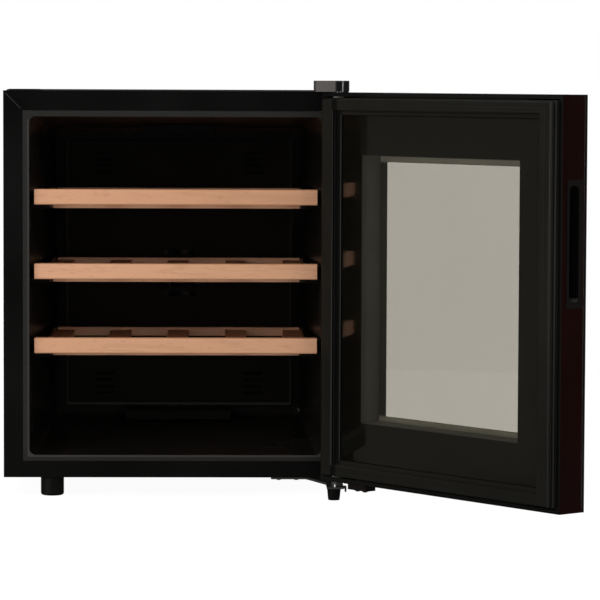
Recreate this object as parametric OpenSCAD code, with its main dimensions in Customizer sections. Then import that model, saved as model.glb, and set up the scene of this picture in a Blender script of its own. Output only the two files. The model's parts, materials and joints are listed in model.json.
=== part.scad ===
// Countertop thermoelectric wine cooler for sixteen bottles, standing with its glazed door open.
// Millimetres. The origin is on the floor under the middle of the cabinet, +Z up, front towards -Y.

/* [Cabinet] */
// Width of the cabinet and of the door
cabinet_width = 430; // [424:1:440]
// Depth of the cabinet without the door
cabinet_depth = 430; // [428:1:445]
// Height of the cabinet without its feet
cabinet_height = 484; // [478:1:490]
// Clearance under the cabinet
foot_height = 24; // [24:0.5:26]
// Thickness of the steel sheets
sheet = 0.7; // [0.5:0.1:1]
// Width of the painted flange around the front
flange_width = 24; // [22:0.5:25]

/* [Liner] */
// Half width of the cavity at the front
cavity_half_front = 183; // [181:0.5:184]
// Half width of the cavity at its back wall
cavity_half_back = 167; // [166:0.5:170]
// Depth of the cavity
cavity_depth = 345; // [340:1:348]
// Floor of the cavity at the front, above the ground
cavity_floor_front = 52; // [50:0.5:54]
// Floor of the cavity at its back wall
cavity_floor_back = 67; // [64:0.5:69]
// Ceiling of the cavity at the front
cavity_top_front = 476; // [474:0.5:478]
// Ceiling of the cavity at its back wall
cavity_top_back = 457; // [455:0.5:460]
// Wall thickness of the moulded liner
liner_wall = 2; // [1.5:0.25:2.5]

/* [Door] */
// Door opening at rest, in degrees
door_angle = 128; // [100:1:133]
// Thickness of the door
door_thick = 39; // [38:0.5:41]
// Gap between the door's inner face and the cabinet
door_gap = 10; // [9.5:0.5:11]
// Side margin from the door's edge to the clear window
window_side = 74; // [70:1:80]
// Top and bottom margin to the clear window
window_end = 78; // [74:1:84]

/* [Shelves] */
// Length of a front bar
bar_length = 354; // [346:1:356]
// Height of a front bar
bar_height = 19.5; // [19:0.5:21]
// Height of the top shelf's upper edge above the ground
shelf_top = 385; // [383:0.5:386]
// Vertical distance between shelves
shelf_pitch = 93.25; // [92.5:0.25:93.5]
// Distance between slats, one bottle to each gap
slat_pitch = 76; // [74:0.5:76]

/* [Hidden] */

// Cabinet levels and faces; y is measured back from the front flange
half_width = cabinet_width / 2;
bottom = foot_height;
top = foot_height + cabinet_height;
inner_half = half_width - sheet;
flange_edge = half_width - flange_width;
flange_top = top - flange_width;
flange_bottom = bottom + 20;
return_width = 12;
flange_depth = 5;
foam_front = 5.5;
foam_back = 375;
skin_gap = 0.1;
small = 0.2;
corner_r = 8;
back_r = 9;
back_start = cavity_depth - back_r;
lip_thick = 1.6;
well = 53;

// Hinge axis, and the door's edges around it
hinge_x = half_width - 13;
hinge_y = -26;
door_inner = -door_gap;
door_outer = door_inner - door_thick;
door_bottom = 25;
door_top = top - 0.8;
glass = 4;
shell_wall = 1.5;
shell_return = 5;
pane_side = 39;
pane_end = 28;
pin_radius = 4;
running_gap = 0.05;

// Shelf heights, counted down from a shelf's upper edge
slat_width = 27;
slat_thick = 8;
slat_drop = 10.5;
rail_drop = 7.5;
batten_thick = 7;
bar_front = 9;
bar_depth = 15;
slat_end = 289;
rail_depth = 12;
slat_half_span = 2 * slat_pitch + slat_width / 2;
ledge_start = 27;
ledge_end = 335;
ledge_inner = 158;
rib_inner = slat_half_span - 2;

// Cooling train, front to back
fan_size = 80;
fan_front = 326;
fan_depth = 15;
fan_z = 262;
outer_fan_size = 92;
outer_fan_depth = 20;
cold_base = 358;
block_front = 362;
module_front = 372;
hot_base = 376;
hot_fins = 381;
hot_end = 402;
outer_fan_front = 403.5;
rear_face = cabinet_depth - sheet;

// Feet and the lower hinge
left_foot = [-155, 18];
right_foot = [198, -31];
right_foot_r = 8.6;
stud_r = 3;
rear_foot_y = 398;
plate_low = 14.5;
plate = 2.5;
plate_front = -41;
slope_start = 164;
slope_end = 189;
plate_end = 210;
tab_x = 206.5;
tab_top = 21;
tail_angle = -84;
pad_start = 48;
pad_end = 82;
pad_low = 17;
pad_front = -30;
pad_back = -14;

// Duct panel in front of the back wall, and the parts of the rear compartment
duct_half = 151;
duct_low = 84;
duct_high = 440;
duct_front = 322;
duct_wall = 2.5;
vent_half = 12;
vent_pitch = 9;
slot_length = 60;
slot_x = 82;
slot_pitch = 14;
gland_x = -150;
gland_z = 70;
board_y = 392;
board_thick = 1.6;

// Light under the ceiling
light_front = 214;
light_back = 242;
light_half = 45;
ceiling_at_light = cavity_top_front + (cavity_top_back - cavity_top_front) * light_back / cavity_depth;
light_low = ceiling_at_light - 12;

// Top hinge cover and the pull recess in the door's free edge
cover_left = half_width - 42;
cover_right = half_width;
cover_front = -42;
cover_back = 58;
cover_height = 13.5;
cover_r = 15;
cover_width = cover_right - cover_left;
cover_depth = cover_back - cover_front;
handle_low = 262;
handle_high = 410;
handle_front = hinge_y - 16;
handle_back = hinge_y + 9;
handle_deep = 16;
bezel_edge = 1.3;
trough_width = 15;

// Screws: their size and the places of the hinge, base, back and door sets
screw_r = 2;
screw_hole = 2.2;
screw_length = 8;
door_screw_length = 12;
top_screws = [for (y = [22, 46], x = [hinge_x - 14, hinge_x]) [x, y]];
base_screws = [for (y = [16, 40], x = [130, 152]) [x, y]];
back_screws = [
    for (x = [-208, 0, 208], z = [bottom + 7, top - 7]) [x, z],
    for (side = [-1, 1]) [side * 208, fan_z]
];
door_screws_x = [half_width - pad_start - 10, half_width - pad_end + 10];
door_screws_y = (pad_front + pad_back) / 2;

beech = [0.8, 0.62, 0.45];

module in_cabinet() translate([0, -cabinet_depth / 2, 0]) children();

// Everything on the door is drawn closed, then swung about the hinge pins
module in_door() in_cabinet()
    translate([hinge_x, hinge_y, 0]) rotate([0, 0, door_angle]) translate([-hinge_x, -hinge_y, 0])
        children();

// A block between two corners
module block(low, high) translate(low) cube(high - low);

// A round bar along y
module rod_y(r, y0, y1, x = 0, z = 0, fn = 48)
    translate([x, y0, z]) rotate([-90, 0, 0]) cylinder(r = r, h = y1 - y0, $fn = fn);

// A hole or a shank along z
module bore_z(r, x, y, z0, z1, fn = 24) translate([x, y, z0]) cylinder(r = r, h = z1 - z0, $fn = fn);

module rounded_rect(size, r) {
    square([size.x - 2 * r, size.y], center = true);
    square([size.x, size.y - 2 * r], center = true);
    for (sx = [-1, 1], sy = [-1, 1])
        translate([sx * (size.x / 2 - r), sy * (size.y / 2 - r)]) circle(r = r, $fn = 32);
}

// A rectangular ring in the door's plane between y0 and y1, by its margins from the door's edges
module door_ring(y0, y1, side_out, end_out, side_in, end_in)
    difference() {
        door_slab(y0, y1, side_out, end_out);
        door_slab(y0 - 1, y1 + 1, side_in, end_in);
    }

module door_slab(y0, y1, side, end)
    block([-half_width + side, y0, door_bottom + end], [half_width - side, y1, door_top - end]);

// A shape drawn in x and z, given a thickness along y
module stand_up(y0, y1) translate([0, y1, 0]) rotate([90, 0, 0]) linear_extrude(y1 - y0) children();

// Clearance holes for the cabinet's screws and for the door's
module screw_holes() {
    for (p = top_screws)
        bore_z(screw_hole, p.x, p.y, top + plate - screw_length - 1, top + plate + 1);
    for (p = base_screws)
        bore_z(screw_hole, p.x, p.y, bottom - plate - 1, bottom - plate + screw_length + 1);
    for (p = back_screws)
        rod_y(screw_hole, rear_face - 2, cabinet_depth + 1, p.x, p.y, 24);
}

module door_screw_holes()
    for (x = door_screws_x)
        bore_z(screw_hole, x, door_screws_y, pad_low - 1, pad_low + 1 + door_screw_length);

// ---- cabinet shell

function cavity_half(y) = cavity_half_front + (cavity_half_back - cavity_half_front) * y / cavity_depth;

// One side sheet with its front flange, a hem behind it and a narrow return at the back
module side_sheet() {
    difference() {
        translate([0, 0, bottom]) linear_extrude(cabinet_height)
            polygon([
                [-half_width, 0], [-flange_edge, 0], [-flange_edge, flange_depth],
                [-flange_edge - sheet, flange_depth], [-flange_edge - sheet, sheet], [-inner_half, sheet],
                [-inner_half, rear_face - sheet], [-inner_half + return_width, rear_face - sheet],
                [-inner_half + return_width, rear_face], [-half_width, rear_face]
            ]);
        mitre_cut(1);
        mitre_cut(-1);
        for (z = [bottom - 1, top - sheet])
            block([-inner_half, foam_back, z], [-flange_edge + 1, rear_face + 1, z + sheet + 1]);
        screw_holes();
    }
}

// Leaves the corner of the flange to the top and bottom sheets along a mitre
module mitre_cut(side) {
    edge = side > 0 ? flange_width : flange_bottom - bottom;
    level = side > 0 ? top : bottom;
    translate([0, flange_depth + 0.5, 0]) rotate([90, 0, 0]) linear_extrude(flange_depth + 1)
        polygon([
            [-half_width + sheet, level + side * 1], [-half_width + sheet, level - side * sheet],
            [-flange_edge - small, level - side * edge], [-flange_edge + 1, level - side * edge],
            [-flange_edge + 1, level + side * 1]
        ]);
}

module left_side_panel() color([0.06, 0.06, 0.06]) in_cabinet() side_sheet();

module right_side_panel() color([0.06, 0.06, 0.06]) in_cabinet() mirror([1, 0, 0]) side_sheet();

// Narrow return at the back of the top or bottom sheet
module back_return(low, high)
    block([-inner_half + return_width + small, rear_face - sheet, low],
        [inner_half - return_width - small, rear_face, high]);

// Top or bottom front flange with mitred ends
module end_flange(level, inner, dir)
    stand_up(0, sheet)
        polygon([
            [-inner_half, level - dir * sheet], [inner_half, level - dir * sheet],
            [flange_edge + small, inner], [-flange_edge - small, inner]
        ]);

module top_panel() color([0.06, 0.06, 0.06]) in_cabinet() difference() {
    union() {
        block([-inner_half, 0, top - sheet], [inner_half, rear_face, top]);
        end_flange(top, flange_top, 1);
        block([-flange_edge, 0, flange_top - sheet], [flange_edge, flange_depth, flange_top]);
        back_return(top - return_width, top);
    }
    screw_holes();
}

module base_plate() color([0.12, 0.12, 0.12]) in_cabinet() difference() {
    union() {
        block([-inner_half, 0, bottom], [inner_half, rear_face, bottom + sheet]);
        end_flange(bottom, flange_bottom, -1);
        block([-flange_edge, 0, flange_bottom], [flange_edge, flange_depth, flange_bottom + sheet]);
        back_return(bottom, bottom + return_width);
    }
    bore_z(4.4, left_foot.x, left_foot.y, bottom - 1, bottom + 4, 32);
    screw_holes();
}

// Galvanised back with the fan opening and two fields of vent slots
module rear_panel() color([0.42, 0.43, 0.44]) in_cabinet() difference() {
    block([-inner_half, rear_face, bottom + sheet], [inner_half, cabinet_depth, top - sheet]);
    rod_y(outer_fan_size / 2 - 2, rear_face - 1, cabinet_depth + 1, 0, fan_z, 64);
    for (row = [0:5], side = [-1, 1], end = [-1, 1])
        translate([side * slot_x, 0, 0])
            vent_slot(slot_length, fan_z + end * (outer_fan_size + row * slot_pitch));
    rod_y(6.2, rear_face - 1, cabinet_depth + 1, gland_x, gland_z);
    screw_holes();
}

module vent_slot(length, z)
    stand_up(rear_face - 1, cabinet_depth + 1) translate([0, z]) union() {
        square([length - 6, 6], center = true);
        for (s = [-1, 1]) translate([s * (length / 2 - 3), 0]) circle(r = 3, $fn = 24);
    }

// ---- liner and insulation

// The outside of the liner's box, which narrows towards the back
module cavity_box()
    hull() {
        cavity_slice(liner_wall, small, 0, 0.5);
        cavity_slice(liner_wall, cavity_depth + liner_wall, cavity_depth + liner_wall, 0.5);
    }

// The air space inside it, rounded where the walls meet the back
module cavity_space()
    hull() {
        cavity_slice(0, -skin_gap, 0, corner_r);
        for (a = [0:22.5:90])
            cavity_slice(back_r * (cos(a) - 1), back_start + back_r * sin(a), back_start + back_r * sin(a),
                corner_r);
    }

module cavity_slice(grow, y, depth, r) {
    t = depth / cavity_depth;
    half = cavity_half(depth) + grow;
    low = cavity_floor_front + (cavity_floor_back - cavity_floor_front) * t - grow;
    high = cavity_top_front + (cavity_top_back - cavity_top_front) * t + grow;
    stand_up(y - 0.01, y + 0.01) translate([0, (low + high) / 2])
        rounded_rect([2 * half, high - low], r);
}

module liner() color([0.09, 0.09, 0.09]) in_cabinet() {
    difference() {
        union() {
            cavity_box();
            block([-flange_edge + small, 0, flange_bottom + sheet + small],
                [flange_edge - small, lip_thick, flange_top - sheet - small]);
        }
        cavity_space();
        block([-well, cavity_depth - 5, fan_z - well], [well, cavity_depth + 5, fan_z + well]);
    }
}

// Runners on both walls: a ledge that carries each shelf and a rib that keeps it from tipping
module shelf_runners() color([0.09, 0.09, 0.09]) in_cabinet()
    for (n = [0:2], side = [0, 1]) mirror([side, 0, 0]) {
        level = shelf_top - n * shelf_pitch;
        wall_rib(ledge_inner, level - 25, level - slat_drop - slat_thick - 0.3);
        wall_rib(rib_inner, level - slat_drop + 1.2, level - slat_drop + 6);
    }

module wall_rib(inner, low, high)
    translate([0, 0, low]) linear_extrude(high - low)
        polygon([
            [-inner, ledge_start + 6], [-inner, ledge_end],
            [-cavity_half(ledge_end) + skin_gap, ledge_end],
            [-cavity_half(ledge_start) + skin_gap, ledge_start], [-inner - 6, ledge_start]
        ]);

module side_foam()
    translate([0, 0, bottom + sheet]) linear_extrude(cabinet_height - 2 * sheet)
        polygon([
            [-inner_half, foam_front], [-cavity_half(foam_front) - liner_wall - skin_gap, foam_front],
            [-cavity_half(cavity_depth) - liner_wall - skin_gap, cavity_depth + liner_wall],
            [-cavity_half(cavity_depth) - liner_wall - skin_gap, foam_back], [-inner_half, foam_back]
        ]);

// A foam slab above or below the liner, between the side slabs
module end_foam(front, back, face)
    difference() {
        translate([-inner_half, 0, 0]) rotate([90, 0, 90]) linear_extrude(2 * inner_half)
            polygon([
                [foam_front, face], [foam_front, front], [cavity_depth + liner_wall, back],
                [foam_back, back], [foam_back, face]
            ]);
        translate([skin_gap, 0, 0]) side_foam();
        mirror([1, 0, 0]) translate([skin_gap, 0, 0]) side_foam();
    }

module insulation() color([0.85, 0.8, 0.6]) in_cabinet() {
    side_foam();
    difference() {
        mirror([1, 0, 0]) side_foam();
        screw_holes();
    }
    end_foam(cavity_top_front + liner_wall, cavity_top_back + liner_wall + skin_gap, top - sheet);
    difference() {
        end_foam(cavity_floor_front - liner_wall, cavity_floor_back - liner_wall - skin_gap,
            bottom + sheet);
        bore_z(6, left_foot.x, left_foot.y, bottom, bottom + 18, 32);
        screw_holes();
    }
    back_foam();
}

// Slab behind the cavity with a well for the cold sink and a hole for the spacer block
module back_foam()
    difference() {
        block([-cavity_half_back - liner_wall, cavity_depth + liner_wall + skin_gap,
                cavity_floor_back - liner_wall],
            [cavity_half_back + liner_wall, foam_back, cavity_top_back + liner_wall]);
        block([-well, cavity_depth, fan_z - well], [well, block_front + 1, fan_z + well]);
        block([-21, cavity_depth, fan_z - 21], [21, foam_back + 1, fan_z + 21]);
    }

// ---- cooling train

module duct_panel() color([0.08, 0.08, 0.08]) in_cabinet() difference() {
    union() {
        difference() {
            block([-duct_half, duct_front, duct_low], [duct_half, cavity_depth - small, duct_high]);
            block([-duct_half + duct_wall, duct_front + duct_wall, duct_low + duct_wall],
                [duct_half - duct_wall, cavity_depth + 1, duct_high - duct_wall]);
        }
        for (x = [-120, -80, 80, 120])
            block([x - 1, duct_front + 1, duct_low + 1], [x + 1, cavity_depth - 1, duct_high - 1]);
    }
    for (row = [0:4]) fan_slot(row);
    for (x = [-100, 100], row = [0:3], z = [duct_low + 14, duct_high - 45])
        block([x - vent_half, duct_front - 1, z + row * vent_pitch],
            [x + vent_half, duct_front + duct_wall + 1, z + 4 + row * vent_pitch]);
}

// Slots over the inner fan follow a circle
module fan_slot(row) {
    z = (row - 2) * slot_pitch;
    half = sqrt(36 * 36 - z * z);
    block([-half, duct_front - 1, fan_z + z - 3.5], [half, duct_front + duct_wall + 1, fan_z + z + 3.5]);
}

// Square fan housing with spokes to the motor plate at its back
module fan_frame(size, depth)
    difference() {
        union() {
            difference() {
                translate([-size / 2, 0, -size / 2]) cube([size, depth, size]);
                rod_y(size / 2 - 2, -1, depth + 1, fn = 64);
            }
            for (a = [45:90:315]) rotate([0, a, 0])
                translate([0, depth - 2, -2]) cube([size / 2 - 1, 2, 4]);
            rod_y(size * 0.2, depth - 2, depth);
        }
        for (sx = [-1, 1], sz = [-1, 1])
            rod_y(2.1, -1, depth + 1, sx * (size / 2 - 4.5), sz * (size / 2 - 4.5), 24);
    }

// Hub with a cap and seven pitched blades
module fan_rotor(size, depth) {
    rod_y(size * 0.19, 1.5, depth - 2.6);
    for (k = [0:6]) rotate([0, k * 360 / 7, 0])
        translate([size * 0.17, depth / 2 - 0.6, 0]) rotate([35, 0, 0])
            translate([0, -0.7, -size * 0.11]) cube([size * 0.27, 1.4, size * 0.22]);
}

module inner_fan_frame() color([0.1, 0.1, 0.1]) in_cabinet()
    translate([0, fan_front, fan_z]) fan_frame(fan_size, fan_depth);

module inner_fan_rotor() color([0.14, 0.14, 0.14]) in_cabinet()
    translate([0, fan_front, fan_z]) fan_rotor(fan_size, fan_depth);

module cold_heat_sink() color([0.75, 0.76, 0.78]) in_cabinet() {
    block([-50, cold_base, fan_z - 50], [50, block_front, fan_z + 50]);
    for (k = [0:16])
        block([-50 + k * 6.15, 342, fan_z - 50], [-48.4 + k * 6.15, cold_base + 0.5, fan_z + 50]);
}

module spacer_block() color([0.8, 0.8, 0.82]) in_cabinet() difference() {
    block([-20, block_front, fan_z - 20], [20, module_front, fan_z + 20]);
    for (s = [-1, 1]) rod_y(1.6, block_front - 1, module_front + 1, s * 15, fan_z, 24);
}

module thermoelectric_module() color([0.92, 0.92, 0.9]) in_cabinet() {
    block([-20, module_front, fan_z - 20], [20, module_front + 0.8, fan_z + 20]);
    block([-18.5, module_front + 0.8, fan_z - 18.5], [18.5, hot_base - 0.8, fan_z + 18.5]);
    block([-20, hot_base - 0.8, fan_z - 20], [20, hot_base, fan_z + 20]);
}

module hot_heat_sink() color([0.72, 0.73, 0.75]) in_cabinet() {
    block([-65, hot_base, fan_z - 60], [65, hot_fins, fan_z + 60]);
    for (k = [0:21])
        block([-65 + k * 6.1, hot_fins - 0.5, fan_z - 60], [-63.1 + k * 6.1, hot_end, fan_z + 60]);
}

module outer_fan_frame() color([0.09, 0.09, 0.09]) in_cabinet()
    translate([0, outer_fan_front, fan_z]) fan_frame(outer_fan_size, outer_fan_depth);

module outer_fan_rotor() color([0.12, 0.12, 0.12]) in_cabinet()
    translate([0, outer_fan_front, fan_z]) fan_rotor(outer_fan_size, outer_fan_depth);

// Wire guard in the back panel's opening
module fan_guard() color([0.7, 0.7, 0.72]) in_cabinet() {
    y = rear_face - 1.6;
    for (r = [14:10:44]) translate([0, y, fan_z]) rotate([90, 0, 0])
        rotate_extrude($fn = 64) translate([r, 0]) circle(r = 1, $fn = 16);
    for (a = [0:60:120]) translate([0, y, fan_z]) rotate([0, a, 0])
        translate([-50, -0.9, -0.9]) cube([100, 1.8, 1.8]);
}

// Mains board on its standoffs in the rear compartment
module power_board() color([0.1, 0.35, 0.18]) in_cabinet() {
    face = board_y + board_thick;
    block([90, board_y, 60], [190, face, 150]);
    block([100, face, 74], [132, board_y + 24, 106]);
    block([140, face, 74], [176, board_y + 14, 90]);
    for (x = [108, 124, 168]) rod_y(7, face, board_y + 22, x, 128);
    for (x = [96, 184], z = [66, 144]) rod_y(3, foam_back, board_y, x, z, 24);
}

// Round gland in the back panel with a bore for the supply cord
module cable_gland() color([0.05, 0.05, 0.05]) in_cabinet()
    translate([gland_x, rear_face - 8, gland_z]) rotate([-90, 0, 0]) difference() {
        union() {
            cylinder(r = 6, h = 14, $fn = 48);
            translate([0, 0, 8 + sheet]) cylinder(r = 9, h = 3, $fn = 48);
            translate([0, 0, 4]) cylinder(r = 8, h = 4, $fn = 6);
        }
        translate([0, 0, -1]) cylinder(r = 3.8, h = 20, $fn = 48);
    }

// ---- light, sensor and tray inside the cavity

module light_housing() color([0.1, 0.1, 0.1]) in_cabinet() difference() {
    block([-light_half, light_front, light_low], [light_half, light_back, ceiling_at_light - skin_gap]);
    block([-light_half + 3, light_front + 3, light_low - 1],
        [light_half - 3, light_back - 3, ceiling_at_light - 3]);
}

module light_lens() color([0.9, 0.92, 0.95, 0.7]) in_cabinet()
    block([-light_half + 3.4, light_front + 3.4, light_low],
        [light_half - 3.4, light_back - 3.4, light_low + 2]);

module temperature_sensor() color([0.15, 0.15, 0.15]) in_cabinet() {
    block([153, 300, 330], [cavity_half(318) - skin_gap, 318, 352]);
    translate([153, 309, 322]) cylinder(r = 3, h = 30, $fn = 32);
}

// Shallow tray that catches condensate under the duct panel
module drip_tray() color([0.1, 0.1, 0.1]) in_cabinet() difference() {
    block([-70, 292, cavity_floor_back + 0.3], [70, 332, cavity_floor_back + 12]);
    block([-68, 294, cavity_floor_back + 2.3], [68, 330, cavity_floor_back + 13]);
}

// ---- hinges, caps and fasteners

module top_hinge_bracket() color([0.55, 0.56, 0.58]) in_cabinet() difference() {
    union() {
        block([hinge_x - 22, -12, top], [hinge_x + 9, 54, top + plate]);
        translate([hinge_x, hinge_y, top]) cylinder(r = 10, h = plate, $fn = 48);
        block([hinge_x - 10, hinge_y, top], [hinge_x + 9, 0, top + plate]);
    }
    bore_z(pin_radius, hinge_x, hinge_y, top - 1, top + 9, 48);
    screw_holes();
}

module top_hinge_pin() color([0.75, 0.76, 0.78]) in_cabinet() translate([hinge_x, hinge_y, 0]) {
    translate([0, 0, door_top - 14]) cylinder(r = pin_radius, h = top + plate - door_top + 14, $fn = 48);
    translate([0, 0, top + plate]) cylinder(r = 6, h = 1.6, $fn = 48);
}

// Hollow moulded cover over the top hinge with a rounded outer corner
module top_hinge_cover() color([0.3, 0.3, 0.31]) in_cabinet() difference() {
    cover_form(0);
    translate([0, 0, -1]) cover_form(2);
}

module cover_form(inset)
    translate([0, 0, top]) linear_extrude(cover_height - inset + (inset > 0 ? 1 : 0)) offset(delta = -inset)
        union() {
            translate([cover_left, cover_front]) square([cover_width - cover_r, cover_depth]);
            translate([cover_left, cover_front + cover_r]) square([cover_width, cover_depth - cover_r]);
            translate([cover_right - cover_r, cover_front + cover_r]) circle(r = cover_r, $fn = 64);
        }

// Stepped bracket under the front corner: up against the base, down to the hinge pin and the foot
module lower_hinge_bracket() color([0.78, 0.78, 0.8]) in_cabinet() difference() {
    union() {
        stand_up(2, 52)
            polygon([
                [120, bottom - plate], [slope_start, bottom - plate], [slope_end, plate_low],
                [plate_end, plate_low], [plate_end, plate_low + plate], [slope_end + 1, plate_low + plate],
                [slope_start + 1, bottom], [120, bottom]
            ]);
        block([slope_end, plate_front, plate_low], [plate_end, 4, plate_low + plate]);
        block([tab_x, -10, plate_low], [plate_end, 3, tab_top]);
        block([plate_end - 1, -36, plate_low], [plate_end + 3.5, -24, plate_low + plate]);
        block([plate_end + 1.5, -36, plate_low - 4], [plate_end + 3.5, -24, plate_low + plate]);
        bore_z(stud_r, right_foot.x, right_foot.y, 4, plate_low + 1, 32);
    }
    bore_z(pin_radius, hinge_x, hinge_y, plate_low, plate_low + 9, 48);
    screw_holes();
}

// Shouldered pin that carries the door
module lower_hinge_pin() color([0.75, 0.76, 0.78]) in_cabinet() translate([hinge_x, hinge_y, 0]) {
    translate([0, 0, plate_low]) cylinder(r = pin_radius, h = door_bottom + 13 - plate_low, $fn = 48);
    bore_z(7, 0, 0, plate_low + plate, door_bottom - 0.4, 48);
}

// Blanking cap over the spare hinge holes
module hinge_hole_cap() color([0.08, 0.08, 0.08]) in_cabinet()
    translate([-190.5, 32, top]) {
        linear_extrude(1.2) rounded_rect([42, 44], 4);
        translate([0, 0, 1.2]) linear_extrude(0.6) rounded_rect([38, 40], 3);
    }

// A pan head with a cross recess, its shank pointing down
module screw(r, length) {
    difference() {
        intersection() {
            cylinder(r = 2 * r, h = 1.3 * r, $fn = 32);
            translate([0, 0, -1.6 * r]) sphere(r = 2.9 * r, $fn = 48);
        }
        for (a = [0, 90]) rotate([0, 0, a])
            translate([-1.1 * r, -0.2 * r, 0.7 * r]) cube([2.2 * r, 0.4 * r, r]);
    }
    translate([0, 0, -length]) cylinder(r = r, h = length, $fn = 24);
}

module cabinet_screws() color([0.6, 0.6, 0.62]) in_cabinet() {
    for (p = top_screws) translate([p.x, p.y, top + plate]) screw(screw_r, screw_length);
    for (p = base_screws)
        translate([p.x, p.y, bottom - plate]) mirror([0, 0, 1]) screw(screw_r, screw_length);
    for (p = back_screws)
        translate([p.x, cabinet_depth, p.y]) rotate([-90, 0, 0]) screw(screw_r, screw_length);
}

// ---- feet

module foot_pad(r, h) {
    translate([0, 0, 3]) cylinder(r = r, h = h - 3, $fn = 48);
    rotate_extrude($fn = 48) union() {
        square([r - 3, 3.5]);
        intersection() {
            translate([r - 3, 3]) circle(r = 3, $fn = 32);
            translate([0, 0]) square([r, 3.5]);
        }
    }
}

module rear_feet() color([0.05, 0.05, 0.05]) in_cabinet()
    for (side = [-1, 1]) translate([side * 155, rear_foot_y, 0]) foot_pad(14.5, bottom);

module left_front_foot() color([0.05, 0.05, 0.05]) in_cabinet()
    translate([left_foot.x, left_foot.y, 0]) {
        foot_pad(14.5, bottom - 0.3);
        translate([0, 0, bottom - 1]) cylinder(r = 4, h = 14, $fn = 32);
    }

// Small foot under the lower hinge, hollow for the bracket's stud
module right_front_foot() color([0.05, 0.05, 0.05]) in_cabinet()
    translate([right_foot.x, right_foot.y, 0]) difference() {
        union() {
            cylinder(r1 = right_foot_r - 1.6, r2 = right_foot_r - 1, h = 4, $fn = 48);
            translate([0, 0, 4]) cylinder(r1 = right_foot_r - 1, r2 = right_foot_r, h = 10.2, $fn = 48);
        }
        bore_z(stud_r + small, 0, 0, 3.6, plate_low, 32);
    }

// ---- door

// Deep frame of the door: four walls and a narrow return round the inner face
module door_shell() color([0.16, 0.03, 0.04]) in_door() difference() {
    union() {
        door_ring(door_outer + glass, door_inner, 0, 0, shell_wall, shell_wall);
        door_ring(door_inner - 2, door_inner, 0, 0, shell_return, shell_return);
        door_ring(door_outer + glass, door_outer + glass + 2, 0, 0, 12, 12);
    }
    handle_window();
    door_screw_holes();
    for (z = [door_bottom - 1, door_top - 5]) bore_z(7, hinge_x, hinge_y, z, z + 6, 48);
}

module handle_window()
    block([-half_width - 1, handle_front + 1.2, handle_low + 1.2],
        [-half_width + shell_wall + 1, handle_back - 1.2, handle_high - 1.2]);

// Pull recess let into the latch side, a rounded trough in a flat bezel
module handle_pocket() color([0.05, 0.05, 0.05]) in_door() difference() {
    union() {
        block([-half_width - 0.8, handle_front, handle_low], [-half_width, handle_back, handle_high]);
        block([-half_width - 0.4, handle_front + bezel_edge, handle_low + bezel_edge],
            [-half_width + handle_deep + 2, handle_back - bezel_edge, handle_high - bezel_edge]);
    }
    translate([-half_width - 2, (handle_front + handle_back) / 2 + 1, 0]) rotate([0, 90, 0])
        linear_extrude(handle_deep + 2) translate([-(handle_low + handle_high) / 2, 0])
            rounded_rect([handle_high - handle_low - 14, trough_width], trough_width / 2 - 0.5);
}

module outer_glass() color([0.1, 0.02, 0.03, 0.6]) in_door()
    door_slab(door_outer, door_outer + glass - 0.05, 0, 0);

module inner_glass() color([0.3, 0.3, 0.26, 0.4]) in_door()
    door_slab(door_inner - 4, door_inner - 0.5, pane_side + 0.4, pane_end + 0.4);

// Profile between the two panes around the window
module glass_spacer() color([0.3, 0.3, 0.27]) in_door()
    door_ring(door_outer + glass, door_inner - 4.1,
        window_side - 9, window_end - 9, window_side - 1, window_end - 1);

// Moulded inner frame: flat face, gasket channel and the pane's seat
module inner_frame() color([0.1, 0.1, 0.09]) in_door() difference() {
    union() {
        door_ring(door_inner - 2, door_inner, 6.5, 6.5, pane_side, pane_end);
        door_ring(door_inner - 6, door_inner - 2, 6.5, 6.5, pane_side + 6, pane_end + 6);
    }
    door_ring(door_inner - 4.1, door_inner + 1,
        pane_side - 4, pane_end - 4, pane_side + 6.1, pane_end + 6.1);
    door_ring(door_inner - 4.2, door_inner + 1, 15, 9.5, 20, 14.5);
}

// Foam bars inside the frame, stopping at the handle, the bushes and the board
module door_insulation() color([0.85, 0.8, 0.6]) in_door() difference() {
    door_foam();
    door_screw_holes();
}

module door_foam() {
    y0 = door_outer + glass + 2;
    y1 = door_inner - 6.1;
    side = window_side - 9.1;
    end = window_end - 9.1;
    block([half_width - side, y0, door_bottom + 20], [half_width - shell_wall, y1, door_top - 20]);
    block([-half_width + handle_deep + 3, y0, door_bottom + 20], [-half_width + side, y1, door_top - 20]);
    block([-half_width + side, y0, door_bottom + shell_wall], [half_width - side, y1, door_bottom + end]);
    block([-half_width + side, y0 + 6, door_top - end], [half_width - side, y1, door_top - shell_wall]);
}

// Bellows seal with a hollow for the magnet strip
module door_gasket() color([0.1, 0.1, 0.09]) in_door() {
    y = door_inner;
    door_ring(y + 0.05, y + 2.4, 9, 6.8, pane_side - 0.5, pane_end - 0.5);
    door_ring(y - 3.6, y + 0.1, 16, 10.5, 19, 13.5);
    door_ring(y + 2.2, y + 6, 12, 8, 15, 10.5);
    door_ring(y + 2.2, y + 6, 25, 17.5, 28, 20);
    difference() {
        door_ring(y + 5, y + 9.6, 11, 7, 30, 22.5);
        door_ring(y + 6, y + 8.8, 14, 9.5, 26, 18.5);
    }
}

module gasket_magnets() color([0.2, 0.2, 0.2]) in_door() {
    y0 = door_inner + 6.2;
    y1 = door_inner + 8.6;
    for (side = [0, 1]) mirror([side, 0, 0])
        block([-half_width + 15.5, y0, door_bottom + 21], [-half_width + 24.5, y1, door_top - 21]);
    block([-half_width + 28, y0, door_bottom + 10.8], [half_width - 28, y1, door_bottom + 17.2]);
    block([-half_width + 28, y0, door_top - 17.2], [half_width - 28, y1, door_top - 10.8]);
}

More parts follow.
